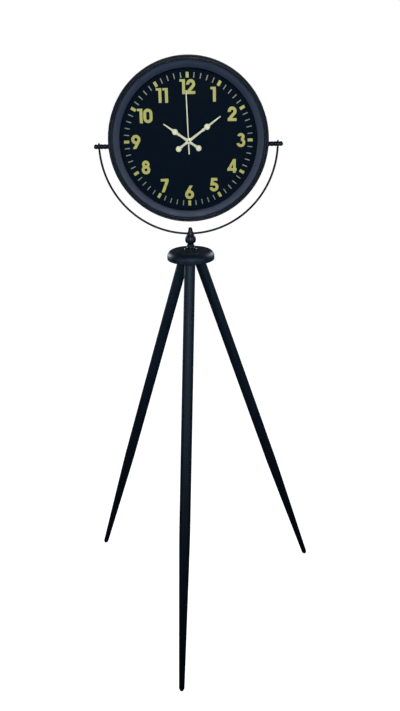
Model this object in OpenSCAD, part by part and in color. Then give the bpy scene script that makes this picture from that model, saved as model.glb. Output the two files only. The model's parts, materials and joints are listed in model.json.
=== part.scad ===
// Tripod floor clock. A round drum clock hangs between the ends of a wire yoke,
// the yoke passes through a turned finial, and the finial swivels on a hub with
// three tapered legs. Behind the dial is a battery quartz movement with a gear train.
// Millimetres. +Z is up, the dial faces -Y, and the origin is on the floor
// under the hub's axis.

/* [Stand] */
// Height of the drum's pivot axis above the floor
pivot_z = 1320; // [1200:5:1400]
// Height of the hub's underside above the floor
hub_bottom_z = 1041.6; // [900:0.2:1060]
// Radius of the hub at its side
hub_r = 59.6; // [52:0.2:66]
// Thickness of the hub
hub_h = 22.8; // [20:0.2:30]
// Radius of the circle that the feet stand on
foot_circle_r = 385; // [330:1:440]
// Radius of the circle of the leg axes at the hub's underside
leg_circle_r = 21.5; // [21:0.1:26]
// Radius of a leg at its top
leg_top_r = 13.8; // [12:0.1:14]
// Radius of a leg where it is thickest
leg_max_r = 14.3; // [12:0.1:15]
// Radius of a leg at its foot
leg_foot_r = 7.6; // [6:0.1:9]
// How far down a leg its taper starts, as a share of its length
leg_taper_from = 0.63; // [0.4:0.01:0.8]
// Turn of the tripod under the head, in degrees
tripod_turn = -7; // [-60:0.5:60]

/* [Yoke] */
// Radius of the yoke's semicircle, to the middle of its rod
yoke_r = 212.7; // [210:0.1:230]
// Radius of the yoke's rod
rod_r = 2.6; // [2:0.05:3]

/* [Drum] */
// Outer radius of the drum's case
case_r = 186.5; // [180:0.5:190]
// Height of the drum's centre above the pivot axis
pivot_drop = 11.4; // [0:0.2:16]
// Distance from the pivot axis back to the rear rim
case_back = 34; // [30:1:45]
// Distance from the pivot axis forward to the dial's face
dial_front = 15.7; // [14:0.1:17]
// Inner radius of the bezel ring
bezel_in_r = 161.3; // [156:0.1:162]
// Outer radius of the circle that the minute marks end on
mark_r = 151.5; // [148:0.5:154]
// Radius of the circle of the numerals' centres
numeral_circle_r = 120; // [115:0.5:120.5]
// Height of a numeral
numeral_h = 34; // [28:0.5:36]
// Radius of the access hole in the back cover
access_r = 52; // [48:1:60]

/* [Hands] */
// Length of the minute hand from its axis to its tip
minute_len = 92.7; // [80:0.1:110]
// Length of the hour hand from its axis to its tip
hour_len = 69.8; // [60:0.1:76]
// Length of the second hand from its axis to its tip
second_len = 112.8; // [95:0.1:125]
// Hour that the hands show
shown_hour = 10; // [0:1:11]
// Minute that the hands show
shown_minute = 8; // [0:1:59]
// Second that the hands show
shown_second = 59.7; // [0:0.1:59.9]

/* [Gear train] */
// Share of the circular pitch that one tooth takes
tooth_share = 0.40; // [0.36:0.01:0.44]

/* [Hidden] */
$fn = 96;
// Module of the seconds and intermediate wheels' teeth
seconds_module = 0.24;

satin_black = "#14171c";
slate = "#2c3a50";
dial_navy = "#0b1626";
gold = "#b9ad4e";
pale_gold = "#a9aa8c";
ivory = "#e3d9b0";
steel = "#9aa0a6";
brass_yellow = "#b5973f";
nylon = "#e8e6dc";
clearance = 0.05;    // radial gap of every running fit

hub_top_z = hub_bottom_z + hub_h;
drum_z = pivot_z + pivot_drop;

// Stand
leg_lean = atan((foot_circle_r - leg_circle_r) / hub_bottom_z);
socket_depth = 5;
leg_len = hub_bottom_z / cos(leg_lean) + socket_depth;
pad_h = 2.4;
pad_r = 5.2;
bolt_r = 3;
stud_r = 4;
stud_thread_r = 3;
washer_h = 0.8;
base_foot_h = 5.2;       // floor of the finial base's nut pocket, above its underside

// Heights in the finial
base_z = hub_top_z + washer_h;
pocket_z = base_z + base_foot_h;
base_top_z = hub_top_z + 15.6;
rod_z = pivot_z - yoke_r;
bulb_top_z = rod_z + 4.4;

// Trunnions, along X from the pivot's middle
trunnion_screw_r = 3;
eye_r = 9;
eye_t = 2.6;
eye_in = yoke_r - eye_t / 2;
eye_out = yoke_r + eye_t / 2;
yoke_washer_t = 0.8;
knob_start = eye_out + yoke_washer_t;
spacer_end = eye_in - yoke_washer_t;
spacer_r = 5.7;
wall = 1.2;
case_x = sqrt(case_r * case_r - pivot_drop * pivot_drop);

// Drum. Depths here are measured forward of the pivot axis, so y = -depth.
rim_r = case_r + 1.5;
ring_out_r = bezel_in_r + 16;
ring_in_f = dial_front + 15;
ring_out_f = ring_in_f + 4.6;
dial_t = 1;
dial_r = 166;
glass_t = 1.6;
lip_t = 1.3;            // thickness of the bezel ring's lip over the glass
glass_r = 166;
glass_front = ring_in_f - lip_t - 0.2;
glass_back = glass_front - glass_t;
flange_r = 150;

// Movement, in the drum's own plane: X across, Z up from the drum's centre
move_w = 56;
move_top = 23;
move_bottom = -33;
move_front = dial_front - dial_t - 1;   // forward depth of the movement's front face
move_back = move_front - 15.3;          // forward depth of the case's open edge
case_wall = 1.2;
bay_top = -16.2;
battery_r = 7.1;
battery_len = 49.5;
battery_z = -24;
battery_f = 4.4;                        // forward depth of the battery's axis

bush_r = 4;
hour_pipe_r = 2.5;
minute_pipe_r = 1.6;
seconds_arbor_r = 0.6;
hour_hand_f = 22.6;
minute_hand_f = 24.4;
second_hand_f = 26.2;
hand_t = 0.7;

// Tooth counts
rotor_teeth = 10;
intermediate_teeth = 50;
intermediate_pinion = 10;
seconds_teeth = 60;
seconds_pinion = 8;
third_teeth = 60;
third_pinion = 8;
centre_teeth = 64;
minute_pinion = 12;
minute_teeth = 36;
hour_pinion = 10;
hour_teeth = 40;
knob_teeth = 24;

// Modules and centre distances. The third wheel's arbor stands the same distance
// from the centre for both of its meshes, and so does the minute wheel's.
third_distance = 9;
third_module = third_distance * 2 / (seconds_pinion + third_teeth);
centre_module = third_distance * 2 / (third_pinion + centre_teeth);
minute_distance = 9.6;
minute_module = minute_distance * 2 / (minute_pinion + minute_teeth);
hour_module = minute_distance * 2 / (hour_pinion + hour_teeth);
knob_distance = (minute_teeth + knob_teeth) * minute_module / 2;
intermediate_distance = (intermediate_pinion + seconds_teeth) * seconds_module / 2;
rotor_module = 0.22;
rotor_distance = (rotor_teeth + intermediate_teeth) * rotor_module / 2;

// Directions of the lines of centres, anticlockwise from +X as the dial is read
third_dir = 135;
minute_dir = -10;
knob_dir = -40;
intermediate_dir = 250;
rotor_dir = 190;

function polar(r, a) = [r * cos(a), r * sin(a)];
function back_screw_at(i) = polar(180, 30 + 60 * i);
third_at = polar(third_distance, third_dir);
minute_at = polar(minute_distance, minute_dir);
knob_at = minute_at + polar(knob_distance, knob_dir);
intermediate_at = polar(intermediate_distance, intermediate_dir);
rotor_at = intermediate_at + polar(rotor_distance, rotor_dir);

// Angle of a wheel's first tooth so that it meshes with a partner whose first tooth
// is at angle first. dir is the direction from the partner to the wheel.
function meshed(first, partner_teeth, teeth, dir) =
    dir + 180 + 180 / teeth - (first - dir) * partner_teeth / teeth;

// Layers of the train, as forward depths of each wheel's front face
hour_f = move_front - case_wall - 0.3;
minute_f = hour_f - 1.5;
centre_f = minute_f - 2.2;
third_f = centre_f - 2;
seconds_f = third_f - 2;
intermediate_f = seconds_f - 2;
wheel_t = 0.9;
pinion_t = 1.3;

// Angles of the hands, clockwise from twelve
second_angle = shown_second * 6;
minute_angle = shown_minute * 6 + shown_second / 10;
hour_angle = shown_hour * 30 + shown_minute / 2 + shown_second / 120;

// ---- Placing ----

// 2D drawings on the dial's plane: x across, y up, extruded forward from depth back_f
module on_dial(back_f, t) {
    translate([0, -back_f, drum_z]) rotate([90, 0, 0]) linear_extrude(t) children();
}

// A profile of [radius, forward depth] turned about the drum's axis
module turned() {
    translate([0, 0, drum_z]) rotate([90, 0, 0]) rotate_extrude($fn = 180) children();
}

// A plain ring on the dial's plane, from forward depth back_f and t thick
module disc_ring(outer_r, inner_r, back_f, t) {
    turned() translate([inner_r, back_f]) square([outer_r - inner_r, t]);
}

// A round bar along the drum's axis at a place on the dial's plane
module bar_at(place, r, back_f, front_f, sides = 48) {
    translate([place[0], -back_f, drum_z + place[1]]) rotate([90, 0, 0])
        cylinder(r = r, h = front_f - back_f, $fn = sides);
}

module leg_frame(turn) {
    rotate([0, 0, -90 + tripod_turn + turn]) translate([foot_circle_r, 0, 0])
        rotate([0, -leg_lean, 0]) children();
}

// A bar along X from x1 to x2 at the pivot's height
module pivot_bar(r, x1, x2, sides = 48) {
    translate([x1, 0, pivot_z]) rotate([0, 90, 0]) cylinder(r = r, h = x2 - x1, $fn = sides);
}

module both_sides() {
    children();
    mirror([1, 0, 0]) children();
}

// ---- Stand ----

module hub() {
    edge_r = 14;
    color(satin_black) difference() {
        translate([0, 0, hub_bottom_z]) rotate_extrude() {
            square([hub_r - edge_r, hub_h]);
            translate([0, 1.5]) square([hub_r, hub_h - edge_r - 1.5]);
            square([hub_r - 1.5, 2]);
            translate([hub_r - 1.5, 1.5]) circle(r = 1.5, $fn = 32);
            translate([hub_r - edge_r, hub_h - edge_r]) circle(r = edge_r);
        }
        for (turn = [0, 120, 240]) leg_frame(turn) {
            translate([0, 0, leg_len - socket_depth - 30])
                cylinder(r = leg_top_r + 0.1, h = socket_depth + 30);
            translate([0, 0, leg_len - 1]) cylinder(r = bolt_r, h = 11);
        }
        translate([0, 0, hub_top_z - 11]) cylinder(r = stud_r, h = 12);
    }
}

// Radius of a leg at distance s up from its foot, swelling gently to leg_max_r
function leg_r(s) = let (down = 1 - s / leg_len, rest = 1 - leg_taper_from)
    down < leg_taper_from
        ? leg_top_r + (leg_max_r - leg_top_r) * sin(90 * down / leg_taper_from)
        : leg_max_r - (leg_max_r - leg_foot_r) * pow((down - leg_taper_from) / rest, 1.08);

module leg(turn) {
    steps = 28;
    tip = 8;
    profile = [for (i = [0:steps]) let (s = tip + (leg_len - tip) * i / steps) [leg_r(s), s]];
    round_end = [for (a = [0:15:75]) [leg_r(tip) * sin(90 - (90 - a) * 0.92), tip * (1 - cos(a))]];
    color(satin_black) difference() {
        leg_frame(turn) difference() {
            rotate_extrude() polygon(concat([[0, 0]], round_end, profile, [[0, leg_len]]));
            translate([0, 0, leg_len - 30]) cylinder(r = bolt_r, h = 31);
        }
        translate([-600, -600, -50]) cube([1200, 1200, 50 + pad_h]);
    }
}

module leg_front() leg(0);
module leg_left() leg(240);
module leg_right() leg(120);

module leg_bolts() color(steel) for (turn = [0, 120, 240]) leg_frame(turn)
    translate([0, 0, leg_len - 30]) cylinder(r = bolt_r, h = 40);

module foot_pads() color("#0a0a0b") for (turn = [0, 120, 240])
    rotate([0, 0, -90 + tripod_turn + turn])
        translate([foot_circle_r - pad_h * tan(leg_lean), 0, 0]) cylinder(r = pad_r, h = pad_h);

module swivel_stud() color(steel) {
    translate([0, 0, hub_top_z - 11]) cylinder(r = stud_r, h = pocket_z + 0.1 - hub_top_z + 11);
    translate([0, 0, pocket_z]) cylinder(r = stud_thread_r, h = 8.4);
}

module wave_washer() color(steel) translate([0, 0, pocket_z + 0.1]) difference() {
    cylinder(r = 6.1, h = 0.8);
    translate([0, 0, -1]) cylinder(r = stud_thread_r, h = 3);
}

module swivel_nut() color(steel) translate([0, 0, pocket_z + 0.9]) difference() {
    cylinder(r = 5.77, h = 5, $fn = 6);
    translate([0, 0, -1]) cylinder(r = stud_thread_r, h = 7);
}

module friction_washer() color("#26221d") translate([0, 0, hub_top_z]) difference() {
    cylinder(r = 15.2, h = washer_h);
    translate([0, 0, -1]) cylinder(r = stud_r + clearance, h = 3);
}

// ---- Head: finial and yoke ----

pocket_r = 6.5;

module finial_base() color(satin_black) difference() {
    translate([0, 0, base_z]) rotate_extrude() difference() {
        union() {
            square([14.3, 6.2]);
            translate([13.4, 3.1]) circle(r = 3.1, $fn = 48);
            square([12.2, 8.2]);
            square([9, base_top_z - base_z]);
            translate([7.4, 12.2]) circle(r = 2.3, $fn = 48);
        }
        translate([12.4, 9.3]) circle(r = 3, $fn = 48);
    }
    translate([0, 0, base_z - 1]) cylinder(r = stud_r + clearance, h = 20);
    translate([0, 0, pocket_z]) cylinder(r = pocket_r, h = 20);
}

module finial_bulb() color(satin_black) difference() {
    union() {
        translate([0, 0, base_top_z]) rotate_extrude() polygon(concat(
            [[0, 0], [7.6, 0], [7.5, 1.2], [7.9, 2.4]],
            [for (a = [-58:8:-2]) [5.4 + 8.4 * cos(a), 11.2 + 9.6 * sin(a)]],
            [for (a = [6:8:62]) [5.4 + 8.4 * cos(a), 11.2 + 14.2 * sin(a)]],
            [[8.5, 25.8], [7.7, 28.4], [7, bulb_top_z - base_top_z], [0, bulb_top_z - base_top_z]]));
        translate([0, 0, base_top_z - 2.6]) cylinder(r = pocket_r, h = 3);
    }
    translate([0, 0, base_top_z - 3]) cylinder(r = stud_r, h = 6);
    translate([-20, 0, rod_z]) rotate([0, 90, 0]) cylinder(r = rod_r + 0.15, h = 40);
    translate([0, 0, rod_z]) cylinder(r = 2.5, h = 10);
}

module finial_cap() color(satin_black) translate([0, 0, bulb_top_z]) {
    rotate_extrude() polygon(concat(
        [[0, 0], [6.5, 0], [6.2, 1.4], [5.6, 3]],
        [for (a = [-15:10:85]) [5.4 * cos(a), 6.3 + 4.9 * sin(a)]],
        [[0, 11.2]]));
    translate([0, 0, rod_z + rod_r + 0.05 - bulb_top_z])
        cylinder(r = 2.5, h = bulb_top_z - rod_z - rod_r);
}

// The rod's two ends stop short of the pivot by the eyes' radius
module yoke_rod() {
    end_gap = asin((eye_r - 1.5) / yoke_r);
    color(satin_black) translate([0, 0, pivot_z]) rotate([90, 0, 0])
        rotate([0, 0, 180 + end_gap])
            rotate_extrude(angle = 180 - 2 * end_gap, $fn = 240)
                translate([yoke_r, 0]) circle(r = rod_r, $fn = 32);
}

module yoke_eyes() color(satin_black) difference() {
    both_sides() pivot_bar(eye_r, eye_in, eye_out);
    both_sides() pivot_bar(trunnion_screw_r + clearance, eye_in - 1, eye_out + 1);
    yoke_rod();
}

// ---- Drum ----

module drum_case() color(satin_black) difference() {
    turned() {
        translate([case_r - wall, -case_back]) square([wall, case_back + ring_in_f - 1.5]);
        translate([flange_r, dial_front - dial_t - wall])
            square([case_r - flange_r - 0.1, wall]);
        translate([175, 1.6 - case_back]) square([case_r - 175.1, wall]);
        translate([case_r - 0.2, 1.5 - case_back]) circle(r = 1.5, $fn = 32);
    }
    both_sides() pivot_bar(trunnion_screw_r, case_x - 10, case_x + 10);
    for (i = [0:5]) bar_at(back_screw_at(i), 1.6, -case_back, 6 - case_back);
}

// Mouldings from the rim inward: a half-round bead, a groove, a stepped band, a groove
module bezel_moulding() color(satin_black) turned() difference() {
    union() {
        translate([case_r, ring_in_f - 9]) square([rim_r - case_r, 9]);
        translate([rim_r - 2.5, ring_in_f]) circle(r = 2.5, $fn = 48);
        translate([ring_out_r, ring_in_f - 1.4]) square([rim_r - 3 - ring_out_r, 1.4]);
        translate([ring_out_r + 0.9, ring_in_f - 1]) square([4.4, 3.4]);
        translate([ring_out_r + 2.2, ring_in_f]) square([2.4, 3.2]);
        translate([ring_out_r + 0.9, ring_in_f]) square([1.4, 4]);
    }
    translate([ring_out_r - 10, ring_in_f - 3.5]) square([case_r - ring_out_r + 10, 2]);
}

// A sloping ring, pressed hollow behind
module bezel_ring() color(slate) turned() difference() {
    polygon([
        [bezel_in_r, ring_in_f - lip_t], [bezel_in_r, ring_in_f],
        [ring_out_r - 0.6, ring_out_f], [ring_out_r, ring_out_f - 0.5],
        [ring_out_r, ring_in_f - lip_t]
    ]);
    translate([bezel_in_r + 4, ring_in_f - 2.5]) square([ring_out_r - bezel_in_r - 5.2, 2.4]);
}

module glass_gasket() color("#101012")
    disc_ring(glass_r, bezel_in_r + 0.6, glass_front, ring_in_f - lip_t - glass_front);

module glass() color([0.8, 0.9, 0.95, 0.25]) disc_ring(glass_r, 0, glass_back, glass_t);

module dial_spacer() color("#06080c")
    disc_ring(bezel_in_r + 2, bezel_in_r + 0.6, dial_front, glass_back - dial_front);

module dial_plate() color(dial_navy) disc_ring(dial_r, bush_r, dial_front - dial_t, dial_t);

mark_t = 0.8;
mark_len = 12;

module hour_blocks() color(gold) on_dial(dial_front, mark_t)
    for (hour = [0:11]) rotate(30 * hour) translate([-3.3, mark_r - mark_len]) square([6.6, mark_len]);

module minute_ticks() color(pale_gold) on_dial(dial_front, mark_t)
    for (minute = [0:59]) if (minute % 5 != 0)
        rotate(6 * minute) translate([-1.1, mark_r - mark_len]) square([2.2, mark_len]);

// Numerals. Each figure is drawn about its own middle, half is half its height, and the
// dial takes the drawing at figure_share of its size.
stroke = 7.2;
figure_share = 0.94;
half = numeral_h / 2;

// A band of the given width along an arc of mean radius r, anticlockwise from a1 to a2
module arc_band(r, width, a1, a2) {
    reach = 3 * (r + width);
    steps = 8;
    intersection() {
        difference() {
            circle(r = r + width / 2);
            circle(r = r - width / 2);
        }
        polygon(concat([[0, 0]], [for (i = [0:steps]) polar(reach, a1 + (a2 - a1) * i / steps)]));
    }
}

// A bar that starts at a point, runs in a direction, and lies to the right of that line
module slant(from, dir) translate(from) rotate(dir) translate([0, -stroke]) square([40, stroke]);

module figure_1() {
    translate([-1, -half]) square([stroke, numeral_h]);
    translate([-7, half - 5.4]) square([6.5, 5.4]);
}

module figure_2() {
    r = 10.8;
    bowl = [0, half - r];
    leave = -42;
    intersection() {
        translate([-r, -half]) square([2 * r, numeral_h]);
        union() {
            translate(bowl) arc_band(r - stroke / 2, stroke, leave - 1, 192);
            slant(bowl + polar(r, leave), leave - 90);
            translate([-r, -half]) square([2 * r, stroke - 0.6]);
        }
    }
}

module figure_3() {
    upper = 8.9;
    lower = 10.9;
    width = stroke - 0.6;
    translate([0, half - upper]) arc_band(upper - width / 2, width, -90, 165);
    translate([0, lower - half]) arc_band(lower - width / 2, width, -168, 90);
}

module figure_4() {
    translate([2.6, -half]) square([stroke - 0.4, numeral_h]);
    translate([-11.8, 5 - half]) square([23.6, stroke - 0.8]);
    polygon([[2.6, half], [9.4, half], [8.1, half - 3], [-3.2, 11.4 - half],
             [-11.8, 11.4 - half], [-11.8, 9.5 - half]]);
}

module figure_5() {
    r = 11.3;
    translate([0, r - half]) arc_band(r - stroke / 2, stroke, -172, 125);
    translate([-6.9, half - stroke]) square([15.6, stroke]);
    polygon([[-6.9, half], [0.2, half], [-2.2, -1.6], [-9.7, -1.6]]);
}

// The stem leaves the bowl along a tangent that ends at the figure's top
module figure_6() {
    r = 11.4;
    centre = [0, r - half];
    rise = 2 * half - r;
    lean = acos(r / rise);
    translate(centre) difference() {
        circle(r = r);
        circle(r = r - stroke);
    }
    intersection() {
        translate([-r, -half]) square([2 * r, numeral_h]);
        slant(centre + polar(r, lean + 90), lean);
    }
}

module figure_7() {
    translate([-10, half - 6.6]) square([20, 6.6]);
    polygon([[10, half - 1], [10, half - 6.4], [-0.9, -half], [-8.6, -half], [2, half - 6.6]]);
}

module figure_8() {
    upper = 9.4;
    lower = 10.9;
    difference() {
        union() {
            translate([0, half - upper]) circle(r = upper);
            translate([0, lower - half]) circle(r = lower);
        }
        translate([0, half - upper]) circle(r = upper - stroke + 0.4);
        translate([0, lower - half]) circle(r = lower - stroke + 0.2);
    }
}

module figure_9() rotate(180) figure_6();

module figure_0() {
    r = 11.3;
    module oval(radius) {
        for (end = [r - half, half - r]) translate([0, end]) circle(r = radius);
        translate([-radius, r - half]) square([2 * radius, 2 * (half - r)]);
    }
    difference() {
        oval(r);
        oval(r - stroke);
    }
}

module numeral(hour) {
    if (hour == 1) figure_1();
    if (hour == 2) figure_2();
    if (hour == 3) figure_3();
    if (hour == 4) figure_4();
    if (hour == 5) figure_5();
    if (hour == 6) figure_6();
    if (hour == 7) figure_7();
    if (hour == 8) figure_8();
    if (hour == 9) figure_9();
    if (hour >= 10) translate([hour == 11 ? -7.6 : -12, 0]) figure_1();
    if (hour == 10) translate([7.4, 0]) figure_0();
    if (hour == 11) translate([8.2, 0]) figure_1();
    if (hour == 12) translate([8.2, 0]) figure_2();
}

// How far each figure stands inside the numerals' circle, from twelve round to eleven
figure_pull = [0, 1.5, 1.5, -3.5, 1.5, 1.5, 0, 1.5, 1.5, -3.5, 4.5, 2.5];

module numerals() color(gold) on_dial(dial_front, mark_t) for (hour = [1:12])
    translate(polar(numeral_circle_r - figure_pull[hour % 12], 90 - 30 * hour))
        scale(figure_share) numeral(hour);

module back_cover() color(satin_black) difference() {
    turned() {
        translate([access_r, -case_back + 0.6]) square([case_r - wall - 0.9 - access_r, 1]);
        translate([access_r, -case_back + 0.6]) square([1.2, 4]);
        translate([150, -case_back - 0.4]) square([4, 2]);
    }
    for (i = [0:5]) bar_at(back_screw_at(i), 1.6, -case_back - 3, -case_back + 5);
}

module back_screws() color(steel) for (i = [0:5]) {
    place = back_screw_at(i);
    bar_at(place, 1.6, -case_back - 0.4, 5 - case_back);
    bar_at(place, 3, -case_back - 1.2, 0.6 - case_back);
}

// ---- Trunnions ----

module turned_on_pivot() translate([0, 0, pivot_z]) rotate([0, 90, 0]) rotate_extrude() children();

// Three turned beads between the drum and the yoke's eye, seated on the drum's curve
module trunnion_spacer() color(satin_black) difference() {
    bead = (spacer_end - case_x) / 3;
    turned_on_pivot() difference() {
        union() {
            translate([0, case_x - 2]) square([4.6, spacer_end - case_x + 2]);
            for (i = [0:2]) intersection() {
                translate([0, case_x + bead * (i + 0.5)]) circle(r = spacer_r, $fn = 64);
                translate([0, case_x + bead * i - (i == 0 ? 2 : 0) + 0.2])
                    square([20, bead - 0.4 + (i == 0 ? 2 : 0)]);
            }
        }
        translate([-1, 0]) square([1 + trunnion_screw_r, 400]);
    }
    turned() translate([0, -30]) square([case_r, 60]);
}

module trunnion_spacer_right() trunnion_spacer();
module trunnion_spacer_left() mirror([1, 0, 0]) trunnion_spacer();

module trunnion_screws() color(steel) both_sides() {
    pivot_bar(trunnion_screw_r, case_x - 9, knob_start + 7);
    pivot_bar(5.5, case_x - 9, case_x - 6);
}

// Stiffening plates inside the drum's wall, curved to it on their outer face
module trunnion_plates() color(steel) difference() {
    intersection() {
        both_sides() translate([case_x - 6, -13, pivot_z - 13]) cube([9, 26, 26]);
        turned() translate([0, -30]) square([case_r - wall, 60]);
    }
    both_sides() pivot_bar(trunnion_screw_r, case_x - 10, case_x + 10);
}

module yoke_washers() color("#26221d") difference() {
    both_sides() {
        pivot_bar(6.6, spacer_end, eye_in);
        pivot_bar(6.6, eye_out, knob_start);
    }
    both_sides() pivot_bar(trunnion_screw_r, spacer_end - 1, knob_start + 1);
}

module trunnion_knob() color(satin_black) turned_on_pivot() difference() {
    union() {
        translate([0, knob_start]) square([4.6, 4]);
        translate([0, knob_start]) square([5.4, 1.4]);
        translate([0, knob_start + 5.2]) circle(r = 5.6, $fn = 64);
    }
    translate([-10, 0]) square([10, 400]);
    translate([-1, knob_start - 1]) square([1 + trunnion_screw_r + clearance, 8.4]);
    translate([0, knob_start - 10]) square([20, 10]);
}

module knob_right() trunnion_knob();
module knob_left() mirror([1, 0, 0]) trunnion_knob();

// ---- Movement: fixed pieces ----

module bore_at(place, r) bar_at(place, r, -20, 30);

module movement_box(grow, back_f, front_f) {
    translate([-move_w / 2 - grow, -front_f, drum_z + move_bottom - grow])
        cube([move_w + 2 * grow, front_f - back_f, move_top - move_bottom + 2 * grow]);
}

module movement_case() color("#1a1a1c") difference() {
    union() {
        difference() {
            movement_box(0, move_back, move_front);
            movement_box(-case_wall, move_back - 1, move_front - case_wall);
        }
        // wall between the train and the battery bay
        translate([-move_w / 2, -move_front, drum_z + bay_top])
            cube([move_w, move_front - move_back, 1]);
        // posts of the wheels that do not reach the rear cover
        bar_at(minute_at, 2, hour_f + 0.2, move_front);
    }
    bore_at([0, 0], bush_r);
    bar_at(minute_at, 0.8 + clearance, -20, move_front - 0.4);
    bar_at(third_at, 0.5 + clearance, -20, move_front - 0.4);
    bar_at(rotor_at, 0.4 + clearance, -20, move_front - 0.4);
    bar_at(knob_at, 1.2 + clearance, -20, move_front - 0.4);
}

module movement_cover() color("#1a1a1c") {
    difference() {
        translate([-move_w / 2, -move_back, drum_z + bay_top + 1])
            cube([move_w, case_wall, move_top - bay_top - 1]);
        bar_at([0, 0], seconds_arbor_r + clearance, move_back - 0.8, 30);
        bar_at(third_at, 0.5 + clearance, move_back - 0.8, 30);
        bar_at(rotor_at, 0.4 + clearance, move_back - 0.8, 30);
        bar_at(knob_at, 2 + clearance, move_back - 5, 30);
    }
    // fixed pin that the intermediate wheel turns on
    bar_at(intermediate_at, 0.5, move_back - 0.5, seconds_f + 0.3);
}

module movement_bush() color(brass_yellow) difference() {
    bar_at([0, 0], bush_r, move_front - 1, dial_front + 4.6);
    bar_at([0, 0], hour_pipe_r + clearance, move_front - 2, dial_front + 6);
}

module bush_washer() color("#101012") difference() {
    bar_at([0, 0], 9, move_front, dial_front - dial_t);
    bar_at([0, 0], bush_r, move_front - 1, dial_front);
}

module bush_nut() color(brass_yellow) difference() {
    union() {
        bar_at([0, 0], 6.2, dial_front, dial_front + 2.4, 6);
        bar_at([0, 0], 7, dial_front, dial_front + 0.5);
    }
    bar_at([0, 0], bush_r, dial_front - 1, dial_front + 4);
}

coil_x = -20.5;
coil_f = seconds_f - 0.5;
coil_low = -10;
coil_high = 14;

module coil_bar(r, low, high) translate([coil_x, -coil_f, drum_z + low]) cylinder(r = r, h = high - low);

module coil_bobbin() color(nylon) difference() {
    union() {
        coil_bar(4.1, coil_low, coil_low + 1);
        coil_bar(4.1, coil_high - 1, coil_high);
        coil_bar(2, coil_low, coil_high);
    }
    coil_bar(1.2, coil_low - 1, coil_high + 1);
}

module coil_winding() color("#a8562c") difference() {
    coil_bar(3.7, coil_low + 1, coil_high - 1);
    coil_bar(2, coil_low, coil_high);
}

// A U of soft iron: two arms from the ring round the rotor to the coil's core ends
module stator() color(steel) {
    ring_r = 4.4;
    hole_r = 3.1;
    on_dial(coil_f - 0.4, 0.8) difference() {
        union() {
            translate(rotor_at) circle(r = ring_r);
            translate([coil_x - 1.2, coil_low - 2.6]) square([rotor_at[0] - coil_x + 1.2, 2.4]);
            translate([rotor_at[0] - ring_r + 0.2, coil_low - 0.5]) square([2.4, coil_high - coil_low + 3.2]);
            translate([coil_x - 1.2, coil_high + 0.3]) square([rotor_at[0] - coil_x, 2.4]);
        }
        translate(rotor_at) circle(r = hole_r);
    }
    coil_bar(1.2, coil_low - 1, coil_high + 1);
}

board_f = 2.6;

module circuit_board() color("#1f5a36") on_dial(board_f, 0.8) translate([9, 4]) square([17, 17]);

module quartz_crystal() color(steel)
    translate([12, -board_f + 1.2, drum_z + 12]) rotate([0, 90, 0]) cylinder(r = 1.2, h = 7);

contact_gap = move_w / 2 - case_wall;

module contact_plate() on_dial(move_back + 2, 10) translate([contact_gap - 0.8, battery_z - 5]) square([0.8, 10]);

module contact_positive() color(steel) contact_plate();

module contact_negative() color(steel) {
    mirror([1, 0, 0]) contact_plate();
    translate([-contact_gap + 0.8, -battery_f, drum_z + battery_z]) rotate([0, 90, 0])
        cylinder(r1 = 3, r2 = 2, h = contact_gap - 0.9 - battery_len / 2);
}

module battery() color("#b9bec4") {
    translate([-battery_len / 2, -battery_f, drum_z + battery_z]) rotate([0, 90, 0])
        cylinder(r = battery_r, h = battery_len);
    translate([battery_len / 2, -battery_f, drum_z + battery_z]) rotate([0, 90, 0])
        cylinder(r = 2.7, h = 1);
}

// ---- Movement: the train ----

// Involute helpers, in degrees
pressure = 20;
function involute(a) = tan(a) * 180 / PI - a;

// Half the angle that a tooth takes at radius r
function half_tooth(r, pitch_r, teeth) =
    let (base_r = pitch_r * cos(pressure), a = r > base_r ? acos(base_r / r) : 0)
    180 * tooth_share / teeth + involute(pressure) - involute(a);

// Outline of a gear whose first tooth points in direction first
module gear_shape(m, teeth, first) {
    pitch_r = m * teeth / 2;
    tip_r = pitch_r + 0.8 * m;
    root_r = pitch_r - 1.15 * m;
    steps = 3;
    radii = [for (i = [0:steps]) root_r + (tip_r - root_r) * i / steps];
    polygon([for (k = [0:teeth - 1]) each concat(
        [for (r = radii) polar(r, first + 360 * k / teeth - half_tooth(r, pitch_r, teeth))],
        [for (i = [steps:-1:0])
            polar(radii[i], first + 360 * k / teeth + half_tooth(radii[i], pitch_r, teeth))])]);
}

// A gear whose front face is at forward depth front_f
module gear(place, m, teeth, first, front_f, t) {
    on_dial(front_f - t, t) translate(place) gear_shape(m, teeth, first);
}

seconds_first = intermediate_dir;
rotor_first = rotor_dir + 180;
seconds_pinion_first = third_dir;
third_pinion_first = third_dir + 180;
minute_pinion_first = minute_dir;
minute_first = meshed(minute_pinion_first, minute_pinion, minute_teeth, minute_dir);
hour_pinion_first = minute_dir + 180;

module rotor() {
    front_f = coil_f + 1.5;
    color("#55585c") bar_at(rotor_at, 2.6, coil_f - 1.3, front_f);
    color(nylon) {
        bar_at(rotor_at, 0.4, move_back - 0.6, move_front - case_wall + 0.6);
        gear(rotor_at, rotor_module, rotor_teeth, rotor_first, intermediate_f + 0.2, pinion_t);
    }
}

module intermediate_wheel() color(nylon) difference() {
    union() {
        gear(intermediate_at, rotor_module, intermediate_teeth,
            meshed(rotor_first, rotor_teeth, intermediate_teeth, rotor_dir + 180),
            intermediate_f, wheel_t);
        gear(intermediate_at, seconds_module, intermediate_pinion,
            meshed(seconds_first, seconds_teeth, intermediate_pinion, intermediate_dir),
            seconds_f + 0.2, seconds_f + 0.3 - intermediate_f);
    }
    bore_at(intermediate_at, 0.5 + clearance);
}

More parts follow.
